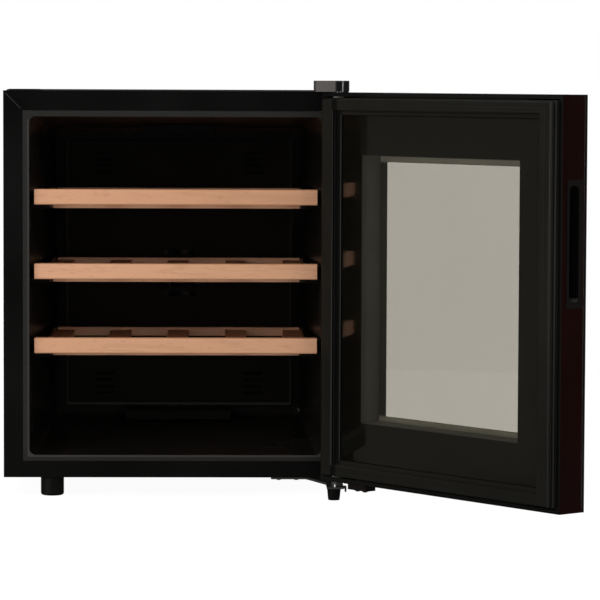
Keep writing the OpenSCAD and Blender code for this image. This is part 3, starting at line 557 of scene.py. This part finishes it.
def recessTones(material, look):
    tree = material.node_tree
    outward = facing(tree, latchward)
    upward = facing(tree, (0, 0, 1))
    # painted highlight on the upward-facing wall at the recess's lower end
    recolor(material, step(tree, upward, look["endFrom"], look["endFull"]), look["end"])
    recolor(material, step(tree, outward, look["flatFrom"], look["flatFull"]), look["flat"])
    # painted highlight along the recess's rounded edges
    recessEdgeHighlight = band(tree, outward, look["edgeFrom"], look["edgeTo"], look["edgeFade"])
    recolor(material, recessEdgeHighlight, look["edge"])


recessTones(finishes["handle_plastic"], recess)

# painted shade: on its inner face, seen only in the gap beside the inner frame, the door shell is made near black
# instead of maroon
shellInsideShade = (0.003, 0.003, 0.003)
shellTree = finishes["door_gloss"].node_tree
recolor(finishes["door_gloss"], step(shellTree, facing(shellTree, inward), *turnedIn), shellInsideShade)
print("materials on", len(nodes), "nodes")

# printed borders behind the panes, in mm from each pane's edges
innerBorder = {"hingeSide": 34.6, "latchSide": 34.6, "top": 48, "bottom": 48, "thick": 0.25, "gap": 0.3}
outerBorder = {"hingeSide": 84.0, "latchSide": 81.5, "top": 83, "bottom": 82, "thick": 0.25, "gap": 0.06,
               "edge": 2}


def borderOn(low, high, look, front):
    def build(shape):
        back = front + look["thick"] * mm
        inLow = Vector((low.x + look["latchSide"] * mm, 0, low.z + look["bottom"] * mm))
        inHigh = Vector((high.x - look["hingeSide"] * mm, 0, high.z - look["top"] * mm))
        loft(shape, [frameRing(low, high, front), frameRing(inLow, inHigh, front),
                     frameRing(inLow, inHigh, back), frameRing(low, high, back)])
    return build


# the front border's inner side: grey primer, with painted light making it pale above and below the window, fading
# darker further down, and a painted shadow strip at the hinge
primerAndPaintedLight = {
    "side": (0.030, 0.030, 0.024), "top": (0.42, 0.40, 0.33), "bottom": (0.30, 0.29, 0.22),
    "low": (0.11, 0.11, 0.085), "fade": 0.004, "fall": 0.011,
    "strip": (0.001, 0.001, 0.001), "stripFrom": 0.1630, "stripTo": 0.1735, "stripFade": 0.001,
}


def inkWithPaintedLight(name, look, primerAndPaintedLight, lowEdge, highEdge):
    material = speckledFinish(name, look)
    tree = material.node_tree
    z = placeAxes(tree)[2]
    inside = step(tree, facing(tree, inward), *turnedIn)
    recolor(material, inside, primerAndPaintedLight["side"])
    # the pale top and bottom bands are painted light, the dark strip is a painted shadow
    masks = [
        (band(tree, shutAcross(tree), primerAndPaintedLight["stripFrom"], primerAndPaintedLight["stripTo"], primerAndPaintedLight["stripFade"]), "strip"),
        (step(tree, z, highEdge - primerAndPaintedLight["fade"], highEdge), "top"),
        (step(tree, z, lowEdge + primerAndPaintedLight["fade"], lowEdge), "bottom"),
        (step(tree, z, lowEdge, lowEdge - primerAndPaintedLight["fall"]), "low"),
    ]
    for mask, tone in masks:
        recolor(material, mathNode(tree, "MULTIPLY", inside, mask), primerAndPaintedLight[tone])
    return material


paneLow, paneHigh = shutBox("inner_glass")
newPiece("inner_glass_border", borderOn(paneLow, paneHigh, innerBorder, paneLow.y - innerBorder["gap"] * mm),
         speckledFinish("innerInk", inkLook), "door", shut=True)
frontLow, frontHigh = shutBox("outer_glass")
edgeIn = Vector((1, 0, 1)) * outerBorder["edge"] * mm
frontInk = inkWithPaintedLight("frontInk", frontInkLook, primerAndPaintedLight, frontLow.z + outerBorder["bottom"] * mm,
                     frontHigh.z - outerBorder["top"] * mm)
frontBack = frontHigh.y + outerBorder["gap"] * mm
newPiece("outer_glass_border", borderOn(frontLow + edgeIn, frontHigh - edgeIn, outerBorder, frontBack),
         frontInk, "door", shut=True)
print("glass borders made")

# door seal: a hollow vinyl bellows with mitred corners
# each point of its profile: share of the way across the seal, and mm in front of the door's inner face
seal = {
    "sideWide": 29.5, "endWide": 20.7,
    "profile": [(0.03, 0.1), (0.00, 0.9), (0.02, 1.9), (0.10, 2.5), (0.13, 3.4), (0.09, 4.6), (0.05, 6.0),
                (0.045, 7.6), (0.06, 8.9), (0.09, 9.5), (0.14, 9.6), (0.28, 9.5), (0.34, 9.0), (0.40, 9.5),
                (0.46, 9.6), (0.54, 9.1), (0.60, 9.5), (0.66, 9.4), (0.71, 8.8), (0.74, 7.6), (0.73, 6.0),
                (0.69, 4.6), (0.65, 3.4), (0.69, 2.5), (0.78, 2.1), (0.95, 2.0), (1.00, 1.0), (0.99, 0.1)],
}


def sealBody(shape):
    low, high = shutBox("door_gasket")
    face = shutBox("door_shell")[1].y  # the door's inner face
    rings = []
    for share, out in seal["profile"]:
        margin = Vector((seal["sideWide"], 0, seal["endWide"])) * share * mm
        rings.append(frameRing(low + margin, high - margin, face + out * mm))
    loft(shape, rings)


sealPiece = newPiece("door_seal_bellows", sealBody, finishes["gasket"], "door", shut=True,
                     smooth=50)
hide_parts("door_gasket")
print("door seal made")

# the fine seam where the flange's top left corner is folded
seam = {"from": (-0.2125, 0.5050), "to": (-0.1935, 0.4860), "wide": 0.0007, "proud": 0.00004}
seamLook = {"color": (0.036, 0.036, 0.034), "rough": 0.5, "grain": 900, "bump": 0.1}


def seamStrip(shape):
    start, end = Vector(seam["from"]), Vector(seam["to"])
    across = (end - start).orthogonal().normalized() * seam["wide"] / 2
    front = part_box("left_side_panel")[0].y - seam["proud"]
    corners = [start + across, end + across, end - across, start - across]
    shape.faces.new([shape.verts.new((c.x, front, c.y)) for c in corners])


newPiece("corner_seam", seamStrip, speckledFinish("seamEdge", seamLook), "cabinet")
print("corner seam made")

# softened edges on the carried-over nodes
softEdges = {
    "front_bar": 0.7 * mm, "slats": 0.9 * mm, "battens": 0.7 * mm, "back_rail": 0.9 * mm,
    "side_panel": 0.25 * mm, "top_panel": 0.25 * mm, "door_shell": 0.5 * mm, "outer_glass": 0.4 * mm,
    "inner_frame": 0.5 * mm, "handle_pocket": 0.3 * mm, "hinge_cover": 0.6 * mm, "hinge_hole_cap": 0.3 * mm,
    "lower_hinge_bracket": 0.4 * mm, "stop_plate": 0.5 * mm, "runners": 1.0 * mm, "duct_panel": 1.0 * mm,
    "drip_tray": 0.5 * mm, "light_housing": 0.6 * mm, "sensor": 0.6 * mm, "inner_glass": 0.3 * mm,
}
bevel = {"segments": 2, "angle": 40}


def soften(piece, width):
    edge = piece.modifiers.new("softEdges", "BEVEL")
    edge.width = width
    edge.segments = bevel["segments"]
    edge.limit_method = "ANGLE"
    edge.angle_limit = math.radians(bevel["angle"])
    edge.use_clamp_overlap = True
    edge.harden_normals = True


for nodeName, node in nodes.items():
    for ending, width in softEdges.items():
        if nodeName.endswith(ending):
            soften(node, width)
print("edges softened")

# floor, light and camera
# the floor's paper glows by itself; shadowDepth is the part of it that the lamps light, so it shows shadow
studio = {
    "floorRadius": 1.5, "floorPlace": (0.05, 0.15, 0), "floorShown": 1.0, "floorBounce": 0.42,
    "shadowDepth": 0.10, "shadowPart": 0.45, "grain": 3, "grainDark": 0.98, "grainLight": 1.02,
    "glossLeft": (0.098, 0.094, 0.078), "glossRight": (0.030, 0.030, 0.030), "glossTurn": 0.25,
}


def bySight(tree, seen, mirrored, soft):  # what the camera sees, what gloss mirrors, what lights the object
    path = addNode(tree, "ShaderNodeLightPath")
    isMirrored = mathNode(tree, "GREATER_THAN", path.outputs["Glossy Depth"], 0.5)
    isSoft = mathNode(tree, "GREATER_THAN", path.outputs["Diffuse Depth"], 0.5)
    return mixColors(tree, isSoft, mixColors(tree, isMirrored, seen, mirrored), soft)


def makeFloor():
    mesh = bpy.data.meshes.new("studioFloor")
    shape = bmesh.new()
    bmesh.ops.create_circle(shape, cap_ends=True, radius=studio["floorRadius"], segments=96)
    shape.to_mesh(mesh)
    shape.free()
    floor = bpy.data.objects.new("studioFloor", mesh)
    bpy.context.collection.objects.link(floor)
    floor.location = studio["floorPlace"]
    material, tree, shader = startMaterial("floorPaper", (0.8, 0.8, 0.8), 0.9, specular=0.0)
    grain = noise(tree, placeCoords(tree), studio["grain"], 2)
    paper = studio["shadowDepth"]
    dark, light = (paper * studio["grainDark"],) * 3, (paper * studio["grainLight"],) * 3
    shade = ramp(tree, grain, [(noiseLow, dark), (noiseHigh, light)])
    tree.links.new(bySight(tree, shade, (0.0, 0.0, 0.0), shade), shader.inputs["Base Color"])
    shown = studio["floorShown"] - studio["shadowDepth"] * studio["shadowPart"]
    across = step(tree, placeAxes(tree)[0], -studio["glossTurn"], studio["glossTurn"])
    mirrored = mixColors(tree, across, studio["glossLeft"], studio["glossRight"])
    glow = bySight(tree, (shown,) * 3, mirrored, (studio["floorBounce"],) * 3)
    tree.links.new(glow, shader.inputs["Emission Color"])
    shader.inputs["Emission Strength"].default_value = 1.0
    material.cycles.emission_sampling = "NONE"
    mesh.materials.append(material)


# how bright the room is in each direction: what lights the object, and what its gloss mirrors
room = {
    "lightFront": (1.22, 1.22, 1.22), "frontTo": 0.2, "lightBack": (0.85, 0.85, 0.85), "backFrom": 0.75,
    "lightAbove": (0.60, 0.60, 0.60), "aboveFrom": 0.5, "aboveFull": 0.9,
    "lightBelow": (0.15, 0.15, 0.15), "belowFrom": -0.2, "belowFull": -0.7,
    "glossLeft": (0.103, 0.099, 0.082), "leftTo": 0.10,
    "glossRight": (0.022, 0.022, 0.022), "rightFrom": 0.90,
    "glossFront": (0.016, 0.016, 0.016), "midFrom": 0.38, "midTo": 0.62,
    "glossBack": (0.05, 0.05, 0.05), "mirrorBackFrom": 0.2, "mirrorBackFull": 0.9,
    "glossAbove": (0.10, 0.10, 0.10), "mirrorAboveFrom": 0.3, "mirrorAboveFull": 0.9,
}


def makeRoom():
    world = bpy.data.worlds.new("studioRoom")
    bpy.context.scene.world = world
    world.use_nodes = True
    tree = world.node_tree
    background = tree.nodes["Background"]
    coords = addNode(tree, "ShaderNodeTexCoord")
    axes = addNode(tree, "ShaderNodeSeparateXYZ")
    tree.links.new(coords.outputs["Generated"], axes.inputs[0])
    across, depth, height = axes.outputs
    soft = ramp(tree, remap(tree, depth, 0, 1, -1, 1),
                [(room["frontTo"], room["lightFront"]), (room["backFrom"], room["lightBack"])])
    isAbove = step(tree, height, room["aboveFrom"], room["aboveFull"])
    isBelow = step(tree, height, room["belowFrom"], room["belowFull"])
    soft = mixColors(tree, isAbove, soft, room["lightAbove"])
    soft = mixColors(tree, isBelow, soft, room["lightBelow"])
    sides = ramp(tree, remap(tree, across, 0, 1, -1, 1),
                 [(room["leftTo"], room["glossLeft"]), (room["midFrom"], room["glossFront"]),
                  (room["midTo"], room["glossFront"]), (room["rightFrom"], room["glossRight"])])
    mirrorBack = step(tree, depth, room["mirrorBackFrom"], room["mirrorBackFull"])
    mirrorAbove = step(tree, height, room["mirrorAboveFrom"], room["mirrorAboveFull"])
    mirrored = mixColors(tree, mirrorBack, sides, room["glossBack"])
    mirrored = mixColors(tree, mirrorAbove, mirrored, room["glossAbove"])
    tree.links.new(bySight(tree, (1.0, 1.0, 1.0), mirrored, soft), background.inputs["Color"])
    world.cycles.sampling_method = "NONE"


lamps = {
    "keyLeft": {"place": (-2.3, -2.4, 1.15), "wide": 0.9, "tall": 1.3, "watts": 23},
    "stripRight": {"place": (2.6, -1.9, 1.2), "wide": 0.25, "tall": 1.8, "watts": 16},
    "above": {"place": (0.1, 0.3, 2.6), "wide": 1.6, "tall": 1.2, "watts": 10},
}
lampAim = Vector((0.1, 0, 0.28))


def makeLamp(name, look):
    light = bpy.data.lights.new(name, "AREA")
    light.shape = "RECTANGLE"
    light.size = look["wide"]
    light.size_y = look["tall"]
    light.energy = look["watts"]
    lamp = bpy.data.objects.new(name, light)
    bpy.context.collection.objects.link(lamp)
    lamp.location = look["place"]
    lamp.rotation_euler = (lampAim - lamp.location).to_track_quat("-Z", "Y").to_euler()


cameraSetup = {
    "place": (0.0575, -4.3913, 0.5277), "yaw": 1.344, "pitch": 3.837, "roll": 0.228,
    "lens": 200.73, "sensor": 36, "reach": 50,
}


def makeCamera(look):
    data = bpy.data.cameras.new("frontCamera")
    data.lens = look["lens"]
    data.sensor_width = look["sensor"]
    data.clip_end = look["reach"]
    camera = bpy.data.objects.new("frontCamera", data)
    bpy.context.collection.objects.link(camera)
    yaw = Matrix.Rotation(math.radians(-look["yaw"]), 4, "Z")
    pitch = Matrix.Rotation(math.radians(90 - look["pitch"]), 4, "X")
    roll = Matrix.Rotation(math.radians(look["roll"]), 4, "Z")
    camera.matrix_world = Matrix.Translation(look["place"]) @ yaw @ pitch @ roll
    bpy.context.scene.camera = camera


makeFloor()
makeRoom()
for lampName, lampLook in lamps.items():
    makeLamp(lampName, lampLook)
makeCamera(cameraSetup)
bpy.context.scene.view_settings.view_transform = "Standard"
print("studio ready")
